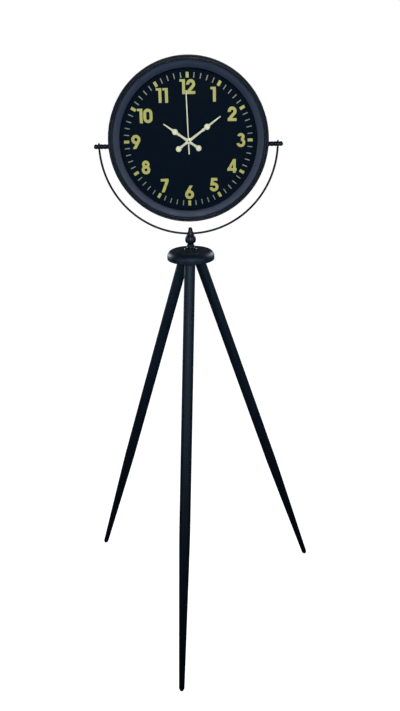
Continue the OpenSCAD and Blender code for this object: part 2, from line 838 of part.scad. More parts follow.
module seconds_wheel() color(nylon) {
    bar_at([0, 0], seconds_arbor_r, move_back - 0.6, second_hand_f);
    gear([0, 0], seconds_module, seconds_teeth, seconds_first, seconds_f, wheel_t);
    gear([0, 0], third_module, seconds_pinion, seconds_pinion_first,
        third_f + 0.2, third_f + 0.3 - seconds_f);
}

module third_wheel() color(nylon) {
    bar_at(third_at, 0.5, move_back - 0.6, move_front - case_wall + 0.6);
    gear(third_at, third_module, third_teeth,
        meshed(seconds_pinion_first, seconds_pinion, third_teeth, third_dir), third_f, wheel_t);
    gear(third_at, centre_module, third_pinion, third_pinion_first,
        centre_f + 0.2, centre_f + 0.3 - third_f);
}

module centre_wheel() color(nylon) difference() {
    union() {
        bar_at([0, 0], minute_pipe_r, centre_f - wheel_t, minute_hand_f + hand_t + 0.1);
        gear([0, 0], centre_module, centre_teeth,
            meshed(third_pinion_first, third_pinion, centre_teeth, third_dir + 180),
            centre_f, wheel_t);
        gear([0, 0], minute_module, minute_pinion, minute_pinion_first,
            minute_f + 0.2, minute_f + 0.3 - centre_f);
    }
    bar_at([0, 0], seconds_arbor_r + clearance, 0, 30);
}

module minute_wheel() color(nylon) {
    bar_at(minute_at, 0.8, minute_f - 1.4, hour_f + 1);
    gear(minute_at, minute_module, minute_teeth, minute_first, minute_f, wheel_t);
    gear(minute_at, hour_module, hour_pinion, hour_pinion_first, hour_f, hour_f + 0.1 - minute_f);
}

module hour_wheel() color(nylon) difference() {
    union() {
        bar_at([0, 0], hour_pipe_r, hour_f - wheel_t, hour_hand_f + hand_t);
        gear([0, 0], hour_module, hour_teeth,
            meshed(hour_pinion_first, hour_pinion, hour_teeth, minute_dir + 180),
            hour_f, wheel_t);
    }
    bar_at([0, 0], minute_pipe_r + clearance, 0, 30);
}

module setting_knob() {
    grip = 24;
    color(nylon) {
        bar_at(knob_at, 1.2, minute_f, move_front - case_wall + 0.6);
        gear(knob_at, minute_module, knob_teeth,
            meshed(minute_first, minute_teeth, knob_teeth, knob_dir), minute_f, wheel_t);
        bar_at(knob_at, 2, move_back - case_wall - 1, minute_f - 0.5);
    }
    color("#1a1a1c") on_dial(move_back - case_wall - 6.5, 5.9) translate(knob_at) {
        circle(r = 6);
        for (i = [0:grip - 1]) rotate(360 * i / grip) translate([5.9, -0.4]) square([0.7, 0.8]);
    }
}

// ---- Hands, drawn pointing up and turned clockwise by their angle ----

// A straight needle from width w1 at y1 to width w2 at y2
module needle(y1, y2, w1, w2) polygon([[-w1 / 2, y1], [w1 / 2, y1], [w2 / 2, y2], [-w2 / 2, y2]]);

// Shaft, bead and disc, then a thin point. The tail has a bead and a disc too.
module ornate_hand(length, bead_y, disc_y, tail_bead_y, tail_y) {
    disc_r = 6.6;
    needle(0, bead_y, 6.4, 4.2);
    translate([0, bead_y]) circle(r = 3.4);
    needle(bead_y, disc_y, 4.2, 5.4);
    translate([0, disc_y]) circle(r = disc_r);
    needle(disc_y, length, 5, 2.2);
    circle(r = 5.2);
    needle(-tail_bead_y, 0, 4, 6.4);
    translate([0, -tail_bead_y]) circle(r = 3.2);
    needle(-tail_y, -tail_bead_y, 4.6, 3.6);
    translate([0, -tail_y]) circle(r = disc_r);
}

module hour_hand() color(ivory) difference() {
    on_dial(hour_hand_f, hand_t) rotate(-hour_angle) ornate_hand(hour_len, 27.6, 37.8, 19.4, 28.6);
    bar_at([0, 0], hour_pipe_r, 0, 30);
}

module minute_hand() color(ivory) difference() {
    on_dial(minute_hand_f, hand_t) rotate(-minute_angle) ornate_hand(minute_len, 43, 54.3, 19.9, 29.1);
    bar_at([0, 0], minute_pipe_r, 0, 30);
}

module hand_nut() color(ivory) difference() {
    bar_at([0, 0], 3.4, minute_hand_f + hand_t, minute_hand_f + hand_t + 0.8);
    bar_at([0, 0], minute_pipe_r, 0, minute_hand_f + hand_t + 0.1);
    bar_at([0, 0], seconds_arbor_r + clearance, 0, 30);
}

module second_hand() color(ivory) {
    on_dial(second_hand_f, 0.5) rotate(-second_angle) {
        needle(-29.2, second_len, 3, 2.2);
        circle(r = 3.2);
    }
}

hub();
leg_front();
leg_left();
leg_right();
leg_bolts();
foot_pads();
swivel_stud();
swivel_nut();
wave_washer();
friction_washer();
finial_base();
finial_bulb();
finial_cap();
yoke_rod();
yoke_eyes();
drum_case();
bezel_moulding();
bezel_ring();
glass();
glass_gasket();
dial_spacer();
dial_plate();
numerals();
hour_blocks();
minute_ticks();
back_cover();
back_screws();
trunnion_spacer_left();
trunnion_spacer_right();
trunnion_screws();
trunnion_plates();
yoke_washers();
knob_left();
knob_right();
movement_case();
movement_cover();
movement_bush();
bush_washer();
bush_nut();
coil_bobbin();
coil_winding();
stator();
circuit_board();
quartz_crystal();
contact_positive();
contact_negative();
rotor();
intermediate_wheel();
seconds_wheel();
third_wheel();
centre_wheel();
minute_wheel();
hour_wheel();
setting_knob();
battery();
second_hand();
minute_hand();
hour_hand();
hand_nut();
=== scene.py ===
"""Tripod floor clock: finished meshes, materials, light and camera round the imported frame."""

import json
import math

import bmesh
import bpy
from mathutils import Matrix, Vector


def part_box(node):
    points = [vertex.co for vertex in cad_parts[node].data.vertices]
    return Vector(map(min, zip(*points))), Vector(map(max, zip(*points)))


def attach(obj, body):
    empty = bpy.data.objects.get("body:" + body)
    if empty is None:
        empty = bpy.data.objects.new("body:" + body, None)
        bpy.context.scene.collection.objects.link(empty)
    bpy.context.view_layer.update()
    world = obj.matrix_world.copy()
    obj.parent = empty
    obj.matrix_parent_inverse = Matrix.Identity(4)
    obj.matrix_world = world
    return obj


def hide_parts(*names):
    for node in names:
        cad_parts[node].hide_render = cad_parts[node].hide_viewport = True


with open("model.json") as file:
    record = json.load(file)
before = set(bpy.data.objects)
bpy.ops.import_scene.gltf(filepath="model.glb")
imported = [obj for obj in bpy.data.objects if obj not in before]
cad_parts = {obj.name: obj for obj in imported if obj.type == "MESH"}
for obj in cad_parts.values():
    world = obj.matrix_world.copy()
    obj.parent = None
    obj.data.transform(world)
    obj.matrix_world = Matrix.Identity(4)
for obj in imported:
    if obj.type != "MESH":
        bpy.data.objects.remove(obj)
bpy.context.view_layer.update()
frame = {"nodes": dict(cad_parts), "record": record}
NODES = frame["nodes"]

# ---------------------------------------------------------------- driving sizes, in mm
MM = 0.001
PIVOT_Z = 1320.0
DRUM_Z = 1331.4
HUB_BOTTOM = 1041.6
HUB_TOP = 1064.4
HUB_R = 59.6
HUB_EDGE_R = 14.0
STUD_HOLE_R = 4.2
STUD_HOLE_DEPTH = 11.0
FOOT_CIRCLE_R = 385.0
LEG_CIRCLE_R = 21.5
TRIPOD_TURN = -7.0
PAD_H = 2.4
PAD_R = 5.2
YOKE_R = 212.7
ROD_R = 2.6
FINIAL_BORE_R = 4.05
BASE_Z = 1065.2
BASE_TOP_Z = 1080.0
BULB_TOP_Z = 1111.7
CASE_R = 186.5
CASE_X = math.sqrt(CASE_R**2 - (DRUM_Z - PIVOT_Z) ** 2)
CASE_IN_R = 185.3
CASE_BACK = 34.0
CASE_FRONT = 29.2
FRONT_FLANGE_R = 150.0
FRONT_FLANGE_BACK = 13.5
FRONT_FLANGE_FRONT = 14.7
REAR_FLANGE_R = 175.0
COVER_R = 184.4
RIB_R = 152.0
HAND_HOLE_R = 52.0
MOULDING_R = 187.97
BEZEL_IN_R = 161.3
RING_OUT_R = 176.1
RING_IN_F = 30.7
DIAL_FRONT = 15.7
GLASS_BACK = 27.6
EYE_IN = 211.4
EYE_OUT = 214.0
EYE_R = 9.0
TRUNNION_BORE_R = 3.05
KNOB_R = 5.6
KNOB_BORE_DEPTH = 7.4
ROD_END_GAP = 7.5  # the rod's ends stop this far from the pivot's axis
WASHER_T = 0.8
GLASS_R = 166.0
GLASS_T = 1.6
DIAL_R = 166.0
DIAL_BORE_R = 4.0
PRESSED_LINE_R = 155.9
COVER_SCREW_CIRCLE_R = 180.0
HOURS, MINUTES, SECONDS = 10, 8, 59.7  # the time that the hands show
MINUTE_ANGLE = MINUTES * 6 + SECONDS / 10
HOUR_ANGLE = HOURS * 30 + MINUTES / 2 + SECONDS / 120

PIVOT = Vector((0, 0, PIVOT_Z))
DRUM = Vector((0, 0, DRUM_Z))
SHARP = 32.0  # an edge that bends more than this many degrees stays crisp


# ---------------------------------------------------------------- materials
def new_material(name):
    material = bpy.data.materials.new(name)
    material.use_nodes = True
    tree = material.node_tree
    return material, tree, tree.nodes["Principled BSDF"]


def coordinates(tree, stretch=(1, 1, 1)):
    """Object coordinates in metres, scaled along each axis"""
    source = tree.nodes.new("ShaderNodeTexCoord")
    mapping = tree.nodes.new("ShaderNodeMapping")
    mapping.inputs["Scale"].default_value = stretch
    tree.links.new(source.outputs["Object"], mapping.inputs["Vector"])
    return mapping.outputs["Vector"]


def noise(tree, vector, scale, detail=3.0):
    node = tree.nodes.new("ShaderNodeTexNoise")
    node.inputs["Scale"].default_value = scale
    node.inputs["Detail"].default_value = detail
    tree.links.new(vector, node.inputs["Vector"])
    return node.outputs["Fac"]


def spread(tree, value, low, high):
    """Noise near 0.5 stretched out to run from low to high"""
    node = tree.nodes.new("ShaderNodeMapRange")
    node.inputs["From Min"].default_value = 0.3
    node.inputs["From Max"].default_value = 0.7
    node.inputs["To Min"].default_value = low
    node.inputs["To Max"].default_value = high
    tree.links.new(value, node.inputs["Value"])
    return node.outputs["Result"]


def blend_colour(tree, value, first, second):
    node = tree.nodes.new("ShaderNodeMix")
    node.data_type = "RGBA"
    node.inputs["A"].default_value = (*first, 1)
    node.inputs["B"].default_value = (*second, 1)
    tree.links.new(spread(tree, value, 0, 1), node.inputs["Factor"])
    return node.outputs["Result"]


def relief(tree, shader, height, strength, depth_mm, below=None):
    """A fine surface relief, laid over another one where below is given"""
    node = tree.nodes.new("ShaderNodeBump")
    node.inputs["Strength"].default_value = strength
    node.inputs["Distance"].default_value = depth_mm * MM
    tree.links.new(height, node.inputs["Height"])
    if below is not None:
        tree.links.new(below, node.inputs["Normal"])
    tree.links.new(node.outputs["Normal"], shader.inputs["Normal"])
    return node.outputs["Normal"]


def finish_of(name, colour, rough, metallic=0.0, coat=0.0, specular=0.5, tint=0.14,
              patch=35.0, grain=600.0, depth=0.03, stretch=(1, 1, 1), rough_span=0.07):
    """A surface whose colour and roughness drift in soft patches under a fine grain"""
    material, tree, shader = new_material(name)
    vector = coordinates(tree, stretch)
    drift = noise(tree, vector, patch, 4.0)
    fine = noise(tree, vector, grain, 2.0)
    darker = tuple(c * (1 - tint) for c in colour)
    lighter = tuple(min(1.0, c * (1 + tint)) for c in colour)
    tree.links.new(blend_colour(tree, drift, darker, lighter), shader.inputs["Base Color"])
    rough_value = spread(tree, drift, rough - rough_span, rough + rough_span)
    tree.links.new(rough_value, shader.inputs["Roughness"])
    relief(tree, shader, fine, 0.16, depth)
    shader.inputs["Metallic"].default_value = metallic
    shader.inputs["Coat Weight"].default_value = coat
    shader.inputs["Coat Roughness"].default_value = 0.22
    shader.inputs["Specular IOR Level"].default_value = specular
    return material


def lacquered_wood(name, colour):
    """Turned hardwood under satin black lacquer: long pores show faintly through the coat"""
    material, tree, shader = new_material(name)
    long_way = coordinates(tree, (1, 1, 0.035))
    level = coordinates(tree)
    pores = noise(tree, long_way, 900.0, 3.0)
    peel = noise(tree, level, 420.0, 2.0)
    drift = noise(tree, long_way, 60.0, 4.0)
    darker = tuple(c * 0.8 for c in colour)
    lighter = tuple(c * 1.25 for c in colour)
    tree.links.new(blend_colour(tree, drift, darker, lighter), shader.inputs["Base Color"])
    tree.links.new(spread(tree, drift, 0.46, 0.56), shader.inputs["Roughness"])
    first = relief(tree, shader, pores, 0.12, 0.05)
    relief(tree, shader, peel, 0.08, 0.03, below=first)
    shader.inputs["Specular IOR Level"].default_value = 0.15
    shader.inputs["Specular Tint"].default_value = (0.72, 0.9, 1, 1)
    return material


def wound_wire(name, colour, pitch_mm):
    """Fine wire laid in turns round a coil that stands upright, with painted shade in the grooves
    between the turns
    """
    material, tree, shader = new_material(name)
    wave = tree.nodes.new("ShaderNodeTexWave")
    wave.wave_type = "BANDS"
    wave.bands_direction = "Z"
    wave.inputs["Scale"].default_value = 0.31 / (pitch_mm * MM)
    wave.inputs["Distortion"].default_value = 0.4
    tree.links.new(coordinates(tree), wave.inputs["Vector"])
    # painted shade: the grooves between the turns, where the relief sinks, are painted half as
    # bright as the wire's crests
    darker = tuple(c * 0.5 for c in colour)
    tree.links.new(blend_colour(tree, wave.outputs["Fac"], darker, colour),
                   shader.inputs["Base Color"])
    tree.links.new(spread(tree, wave.outputs["Fac"], 0.45, 0.28), shader.inputs["Roughness"])
    relief(tree, shader, wave.outputs["Fac"], 0.8, 0.08)
    shader.inputs["Metallic"].default_value = 0.8
    return material


def clear_glass(name):
    """Flat clear glass with a faint reflection

    Known fault: the Fresnel node inverts its index on the slab's rear face, so more than about
    44 degrees off the dial's axis the glass turns opaque and the dial behind it looks black.
    """
    material, tree, shader = new_material(name)
    tree.nodes.remove(shader)
    clear = tree.nodes.new("ShaderNodeBsdfTransparent")
    clear.inputs["Color"].default_value = (0.97, 0.985, 0.98, 1)
    gloss = tree.nodes.new("ShaderNodeBsdfGlossy")
    gloss.inputs["Color"].default_value = (0.09, 0.105, 0.13, 1)
    smear = noise(tree, coordinates(tree), 14.0, 4.0)
    tree.links.new(spread(tree, smear, 0.02, 0.07), gloss.inputs["Roughness"])
    fresnel = tree.nodes.new("ShaderNodeFresnel")
    fresnel.inputs["IOR"].default_value = 1.45
    mix = tree.nodes.new("ShaderNodeMixShader")
    tree.links.new(fresnel.outputs["Fac"], mix.inputs["Fac"])
    tree.links.new(clear.outputs["BSDF"], mix.inputs[1])
    tree.links.new(gloss.outputs["BSDF"], mix.inputs[2])
    tree.links.new(mix.outputs["Shader"], tree.nodes["Material Output"].inputs["Surface"])
    return material


LOOKS = {
    "black_wood": lacquered_wood("satin_black_lacquer", (0.0018, 0.0048, 0.0105)),
    "black_metal": finish_of("satin_black_enamel", (0.0018, 0.0042, 0.009), 0.38,
                             specular=0.12, grain=900.0, depth=0.02),
    "slate_ring": finish_of("slate_blue_enamel", (0.0105, 0.0165, 0.032), 0.5,
                            specular=0.15, grain=900.0, depth=0.02, tint=0.1),
    "steel": finish_of("zinc_plated_steel", (0.55, 0.56, 0.58), 0.3, metallic=1.0,
                       grain=1500.0, depth=0.01),
    "rubber": finish_of("matt_rubber", (0.015, 0.015, 0.016), 0.8, specular=0.3,
                        grain=2500.0, depth=0.05),
    "glass": clear_glass("dial_glass"),
    "dial_navy": finish_of("matt_navy_paint", (0.001, 0.0045, 0.0105), 0.75, patch=9.0,
                           grain=2200.0, depth=0.01, tint=0.12, specular=0.04),
    "dial_wall": finish_of("matt_black_paint", (0.003, 0.004, 0.007), 0.7, specular=0.2),
    "gold_figures": finish_of("satin_olive_gold", (0.46, 0.40, 0.097), 0.45, patch=120.0,
                              grain=3000.0, depth=0.01, tint=0.08, specular=0.3),
    "pale_marks": finish_of("satin_pale_gold", (0.19, 0.2, 0.15), 0.45, patch=120.0,
                            grain=3000.0, depth=0.01, tint=0.08),
    "black_plastic": finish_of("moulded_black_plastic", (0.02, 0.02, 0.022), 0.5,
                               grain=2600.0, depth=0.06, tint=0.1),
    "brass": finish_of("turned_brass", (0.60, 0.45, 0.18), 0.26, metallic=1.0,
                       grain=1800.0, depth=0.01),
    "nylon": finish_of("moulded_nylon", (0.80, 0.78, 0.70), 0.35, tint=0.04, grain=900.0,
                       depth=0.01),
    "copper_winding": wound_wire("enamelled_copper_wire", (0.52, 0.2, 0.08), 0.22),
    "board": finish_of("green_solder_resist", (0.02, 0.12, 0.05), 0.32, patch=260.0,
                       tint=0.35, coat=0.3, grain=1200.0, depth=0.02),
    "cell_case": finish_of("plain_metal_sleeve", (0.45, 0.46, 0.48), 0.28, metallic=0.9,
                           grain=1600.0, depth=0.01),
    "ivory_hands": finish_of("satin_ivory_gold", (0.63, 0.58, 0.40), 0.36, patch=160.0,
                             grain=2400.0, depth=0.01, tint=0.06),
}
INLAY = finish_of("soft_gold_inlay", (0.76, 0.69, 0.38), 0.34, patch=200.0, grain=2600.0,
                  depth=0.01, tint=0.08)
DARK_STUD = finish_of("dark_centre_stud", (0.06, 0.055, 0.03), 0.4, grain=2000.0, depth=0.01)
BAND = finish_of("dark_battery_band", (0.03, 0.035, 0.045), 0.32, coat=0.4, grain=900.0,
                 depth=0.01)


# ---------------------------------------------------------------- mesh helpers
def arc(cx, cy, r, start, end, steps=8):
    """Points on an arc, from one angle to another in degrees"""
    points = []
    for i in range(steps + 1):
        angle = math.radians(start + (end - start) * i / steps)
        points.append((cx + r * math.cos(angle), cy + r * math.sin(angle)))
    return points


def upright(r, h, angle):
    return Vector((r * math.cos(angle), r * math.sin(angle), h))


def forward(r, depth, angle):
    """A point on a ring about the drum's axis, depth mm forward of the pivot"""
    return DRUM + Vector((r * math.cos(angle), -depth, r * math.sin(angle)))


def sideways(r, x, angle):
    """A point on a ring about the pivot's axis"""
    return PIVOT + Vector((x, r * math.cos(angle), r * math.sin(angle)))


def sideways_left(r, x, angle):
    return sideways(r, -x, angle)


def forward_at(place):
    """As forward, but about a point of the drum's plane"""
    shift = Vector((place[0], 0, place[1]))
    return lambda r, depth, angle: forward(r, depth, angle) + shift


def hex_stretch(angle):
    """How far a hexagon's side stands out, as a share of its distance across flats"""
    return 1 / math.cos((angle % math.radians(60)) - math.radians(30))


def ring_of(bm, point, place, segments):
    """The ring of vertices that a profile point sweeps, or one vertex on the axis"""
    r, h = point[0], point[1]
    if r < 1e-6:
        return [bm.verts.new(place(0, h, 0) * MM)]
    ring = []
    for i in range(segments):
        angle = 2 * math.pi * i / segments
        reach = r * hex_stretch(angle) if len(point) > 2 else r
        ring.append(bm.verts.new(place(reach, h, angle) * MM))
    return ring


def bridge(bm, first, second):
    """Faces between two rings, or between a ring and a point"""
    if len(first) == 1 and len(second) == 1:
        return
    count = max(len(first), len(second))
    for i in range(count):
        j = (i + 1) % count
        if len(first) == 1:
            bm.faces.new((first[0], second[j], second[i]))
        elif len(second) == 1:
            bm.faces.new((first[i], first[j], second[0]))
        else:
            bm.faces.new((first[i], first[j], second[j], second[i]))


def turn(bm, profile, place, segments=96, closed=False):
    """Sweeps a profile of (radius, height) points round an axis"""
    rings = [ring_of(bm, point, place, segments) for point in profile]
    pairs = list(zip(rings, rings[1:]))
    if closed:
        pairs.append((rings[-1], rings[0]))
    for first, second in pairs:
        bridge(bm, first, second)


def mark_sharp(bm, limit):
    """Smooth shading, except over edges that bend more than the limit in degrees"""
    for face in bm.faces:
        face.smooth = True
    for edge in bm.edges:
        crisp = len(edge.link_faces) == 2 and edge.calc_face_angle() > math.radians(limit)
        edge.smooth = not crisp


def make_piece(bm, name, look, body, replaces=(), sharp=SHARP):
    """Turns a bmesh into a piece of the clock that rides on a body"""
    bmesh.ops.recalc_face_normals(bm, faces=bm.faces)
    mark_sharp(bm, sharp)
    mesh = bpy.data.meshes.new(name)
    bm.to_mesh(mesh)
    bm.free()
    piece = bpy.data.objects.new(name, mesh)
    bpy.context.scene.collection.objects.link(piece)
    material = LOOKS[look] if isinstance(look, str) else look
    mesh.materials.append(material)
    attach(piece, body)
    if replaces:
        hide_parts(*replaces)
    return piece


def turned_piece(name, profile, place, look, body, replaces=(), segments=96, closed=False):
    bm = bmesh.new()
    turn(bm, profile, place, segments, closed)
    return make_piece(bm, name, look, body, replaces)


# ---------------------------------------------------------------- stand
LEG_LEAN = math.atan((FOOT_CIRCLE_R - LEG_CIRCLE_R) / HUB_BOTTOM)
LEG_LEN = HUB_BOTTOM / math.cos(LEG_LEAN) + 5
LEG_TOP_R = 13.8
LEG_MAX_R = 14.3
LEG_FOOT_R = 7.2
TAPER_FROM = 0.63


def leg_radius(s):
    """Radius at distance s up from the foot: a slight swell, then a taper to the foot"""
    down = 1 - s / LEG_LEN
    if down < TAPER_FROM:
        return LEG_TOP_R + (LEG_MAX_R - LEG_TOP_R) * math.sin(math.pi / 2 * down / TAPER_FROM)
    share = (down - TAPER_FROM) / (1 - TAPER_FROM)
    return LEG_MAX_R - (LEG_MAX_R - LEG_FOOT_R) * share**1.08


def leg_placing(turn_deg):
    """From a leg's own upright axis to its leaning place on the foot circle"""
    azimuth = Matrix.Rotation(math.radians(-90 + TRIPOD_TURN + turn_deg), 4, "Z")
    foot = Matrix.Translation(Vector((FOOT_CIRCLE_R, 0, 0)) * MM)
    return azimuth @ foot @ Matrix.Rotation(-LEG_LEAN, 4, "Y")


def make_leg(name, turn_deg):
    """A tapered leg with a rounded tip, cut level where its rubber pad starts"""
    tip = 8.0
    tip_r = leg_radius(tip)
    profile = [(0, 0)]
    tip_steps, side_steps = 8, 72
    for i in range(tip_steps + 1):
        angle = math.radians(82 * i / tip_steps)
        profile.append((tip_r * math.sin(math.radians(8) + angle), tip * (1 - math.cos(angle))))
    for i in range(side_steps + 1):
        s = tip + (LEG_LEN - tip - 0.4) * i / side_steps
        profile.append((leg_radius(s), s))
    profile += [(LEG_TOP_R - 0.4, LEG_LEN), (0, LEG_LEN)]
    placing = leg_placing(turn_deg)
    bm = bmesh.new()
    turn(bm, profile, upright, 72)
    local = placing.inverted()
    floor_normal = local.to_3x3() @ Vector((0, 0, 1))
    point_on_pad = local @ Vector((0, 0, PAD_H * MM))
    cut = bmesh.ops.bisect_plane(bm, geom=bm.verts[:] + bm.edges[:] + bm.faces[:],
                                 plane_co=point_on_pad, plane_no=floor_normal,
                                 clear_inner=True)
    rim = [e for e in cut["geom_cut"] if isinstance(e, bmesh.types.BMEdge)]
    bmesh.ops.contextual_create(bm, geom=rim)
    bmesh.ops.transform(bm, matrix=placing, verts=bm.verts)
    make_piece(bm, "turned_" + name, "black_wood", "stand", [name])


def make_hub():
    """A flat-topped disc with a generous rounded shoulder and a small lower edge"""
    low = HUB_BOTTOM
    profile = [(0, low), (HUB_R - 3.4, low)]
    profile += arc(HUB_R - 1.8, low + 1.8, 1.8, -90, 0, 6)
    profile += arc(HUB_R - HUB_EDGE_R, HUB_TOP - HUB_EDGE_R, HUB_EDGE_R, 0, 90, 16)
    profile += [(HUB_R - HUB_EDGE_R - 3, HUB_TOP), (15.4, HUB_TOP), (14.8, HUB_TOP - 0.3),
                (STUD_HOLE_R, HUB_TOP - 0.3)]
    profile += [(STUD_HOLE_R, HUB_TOP - STUD_HOLE_DEPTH), (0, HUB_TOP - STUD_HOLE_DEPTH)]
    turned_piece("turned_hub", profile, upright, "black_wood", "stand", ["hub"], 144)


def make_foot_pads():
    """The short rubber discs under the legs' tips"""
    bm = bmesh.new()
    lean = math.tan(LEG_LEAN)
    for turn_deg in (0, 120, 240):
        angle = math.radians(-90 + TRIPOD_TURN + turn_deg)
        reach = FOOT_CIRCLE_R - PAD_H * lean
        centre = Vector((reach * math.cos(angle), reach * math.sin(angle), 0))
        profile = [(0, 0), (PAD_R - 0.5, 0)]
        profile += arc(PAD_R - 0.5, 0.5, 0.5, -90, 0, 4)
        profile += arc(PAD_R - 0.5, PAD_H - 0.5, 0.5, 0, 90, 4)
        profile += [(0, PAD_H)]
        turn(bm, profile, lambda r, h, a, c=centre: upright(r, h, a) + c, 40)
    make_piece(bm, "rubber_feet", "rubber", "stand", ["foot_pads"])


# ---------------------------------------------------------------- head
def make_finial_base():
    """Rounded foot disc, a cove above it, then a collar bead"""
    z = BASE_Z
    profile = [(FINIAL_BORE_R, z), (13.4, z)]
    profile += arc(13.4, z + 3.1, 3.1, -90, 90, 14)
    profile += [(12.6, z + 6.35)]
    profile += arc(12.4, z + 9.3, 3.0, 264, 196, 8)
    profile += arc(7.4, z + 12.2, 2.3, -38, 88, 10)
    profile += [(7.3, BASE_TOP_Z), (6.5, BASE_TOP_Z), (6.5, z + 5.2), (FINIAL_BORE_R, z + 5.2)]
    turned_piece("finial_foot", profile, upright, "black_metal", "head", ["finial_base"], 72,
                 closed=True)


def make_finial_bulb():
    """Neck, full bulb, and the shoulder that the rod passes through"""
    z = BASE_TOP_Z
    profile = [(0, z + 3), (4, z + 3), (4, z - 2.6), (6.45, z - 2.6), (6.45, z), (7.45, z)]
    profile += [(7.55, z + 0.6), (7.5, z + 1.4), (7.9, z + 2.4)]
    for i in range(25):
        angle = math.radians(-58 + 120 * i / 24)
        rise = 9.6 if angle < 0 else 14.2
        profile.append((5.4 + 8.4 * math.cos(angle), z + 11.2 + rise * math.sin(angle)))
    profile += [(8.85, z + 24.8), (8.3, z + 26.4), (7.7, z + 28.3), (7.25, z + 30.1),
                (7.0, BULB_TOP_Z), (0, BULB_TOP_Z)]
    turned_piece("finial_body", profile, upright, "black_metal", "head", ["finial_bulb"], 72)


def make_finial_cap():
    """The knob on top of the finial: a flare that runs up into a ball"""
    z = BULB_TOP_Z
    profile = [(0, z), (6.3, z), (6.45, z + 0.2), (6.3, z + 1.1), (5.9, z + 2.1), (5.5, z + 3.3)]
    profile += [(5.28, z + 4.3)]
    for i in range(19):
        angle = math.radians(-18 + 6 * i)
        r = 5.38 * math.cos(angle) if i < 18 else 0
        profile.append((r, z + 6.3 + 4.88 * math.sin(angle)))
    turned_piece("finial_button", profile, upright, "black_metal", "head", ["finial_cap"], 64)


def make_yoke():
    """A round rod bent to a half circle, its ends let into the eyes"""
    gap = math.asin(ROD_END_GAP / YOKE_R)
    steps, sides = 260, 28
    bm = bmesh.new()
    rings = []
    for i in range(steps + 1):
        angle = math.pi + gap + (math.pi - 2 * gap) * i / steps
        out = Vector((math.cos(angle), 0, math.sin(angle)))
        ring = []
        for k in range(sides):
            around = 2 * math.pi * k / sides
            spot = PIVOT + out * (YOKE_R + ROD_R * math.cos(around))
            spot += Vector((0, ROD_R * math.sin(around), 0))
            ring.append(bm.verts.new(spot * MM))
        rings.append(ring)
    for first, second in zip(rings, rings[1:]):
        bridge(bm, first, second)
    bm.faces.new(rings[0])
    bm.faces.new(reversed(rings[-1]))
    make_piece(bm, "yoke_wire", "black_metal", "head", ["yoke_rod"])


def make_yoke_eyes():
    """The flat eyes at the rod's two ends, bored for the trunnion screws"""
    bm = bmesh.new()
    bore = TRUNNION_BORE_R
    profile = [(bore, EYE_IN + 0.4), (bore + 0.4, EYE_IN), (EYE_R - 0.8, EYE_IN)]
    profile += arc(EYE_R - 0.8, EYE_IN + 0.8, 0.8, -75, 0, 4)
    profile += arc(EYE_R - 0.8, EYE_OUT - 0.8, 0.8, 0, 75, 4)
    profile += [(EYE_R - 0.8, EYE_OUT), (bore + 0.4, EYE_OUT), (bore, EYE_OUT - 0.4)]
    for place in (sideways, sideways_left):
        turn(bm, profile, place, 56, closed=True)
    make_piece(bm, "yoke_end_eyes", "black_metal", "head", ["yoke_eyes"])


# ---------------------------------------------------------------- drum shell
def make_case():
    """Thin-walled shell with a rolled rear edge and two inner flanges"""
    back = -CASE_BACK
    front, rear = FRONT_FLANGE_FRONT, FRONT_FLANGE_BACK
    profile = [(FRONT_FLANGE_R, rear + 0.2), (FRONT_FLANGE_R, front - 0.2),
               (FRONT_FLANGE_R + 0.3, front), (CASE_IN_R - 0.3, front),
               (CASE_IN_R, front + 0.3), (CASE_IN_R, CASE_FRONT), (CASE_R, CASE_FRONT),
               (CASE_R, back + 4), (CASE_R, back + 3.4)]
    profile += arc(CASE_R - 0.2, back + 1.5, 1.5, 70, -90, 12)
    profile += [(CASE_IN_R - 0.1, back + 0.35), (CASE_IN_R - 0.2, back + 1.6),
                (REAR_FLANGE_R + 0.3, back + 1.6), (REAR_FLANGE_R, back + 1.9),
                (REAR_FLANGE_R, back + 2.6), (REAR_FLANGE_R + 0.2, back + 2.8),
                (CASE_IN_R, back + 2.8), (CASE_IN_R, rear), (FRONT_FLANGE_R + 0.3, rear)]
    turned_piece("drum_shell", profile, forward, "black_metal", "drum", ["drum_case"], 256,
                 closed=True)


def make_moulding():
    """From the rim inward: a half-round bead, a groove, a stepped reeded band, a groove"""
    f = RING_IN_F
    rim = MOULDING_R
    profile = [(CASE_R + 0.05, f - 9), (rim - 0.4, f - 9), (rim, f - 8.6), (rim, f - 0.4)]
    profile += arc(rim - 2.5, f, 2.5, 0, 168, 16)
    profile += [(182.9, f - 0.2), (182.2, f - 0.1), (181.4, f - 0.1), (181.1, f + 0.2)]
    profile += arc(181.0, f + 2.1, 1.3, -60, 118, 8)
    profile += [(180.25, f + 2.6)]
    profile += arc(179.3, f + 3.0, 0.9, 20, 140, 6)
    profile += [(178.5, f + 3.25)]
    profile += arc(177.75, f + 3.35, 0.72, 25, 180, 7)
    profile += [(177.0, f - 0.2), (176.2, f - 0.2), (176.2, f - 1.4), (185.9, f - 1.4)]
    turned_piece("bezel_reeding", profile, forward, "black_metal", "drum",
                 ["bezel_moulding"], 256, closed=True)


def make_ring():
    """Two sloping facets with a soft break between them, rolled at both edges"""
    f = RING_IN_F
    profile = [(BEZEL_IN_R + 0.25, f - 1.3), (BEZEL_IN_R, f - 1.05), (BEZEL_IN_R, f - 0.3)]
    profile += arc(BEZEL_IN_R + 0.35, f - 0.25, 0.35, 180, 105, 4)
    profile += [(163.6, f + 1.32), (166.6, f + 2.42), (168.9, f + 3.12), (169.7, f + 3.34),
                (170.6, f + 3.52), (173.0, f + 3.98), (174.9, f + 4.32)]
    profile += arc(175.45, f + 3.95, 0.62, 108, 5, 7)
    profile += [(RING_OUT_R, f + 3.4), (RING_OUT_R, f - 1.0), (RING_OUT_R - 0.3, f - 1.3)]
    turned_piece("slate_bezel_ring", profile, forward, "slate_ring", "drum",
                 ["bezel_ring"], 256, closed=True)


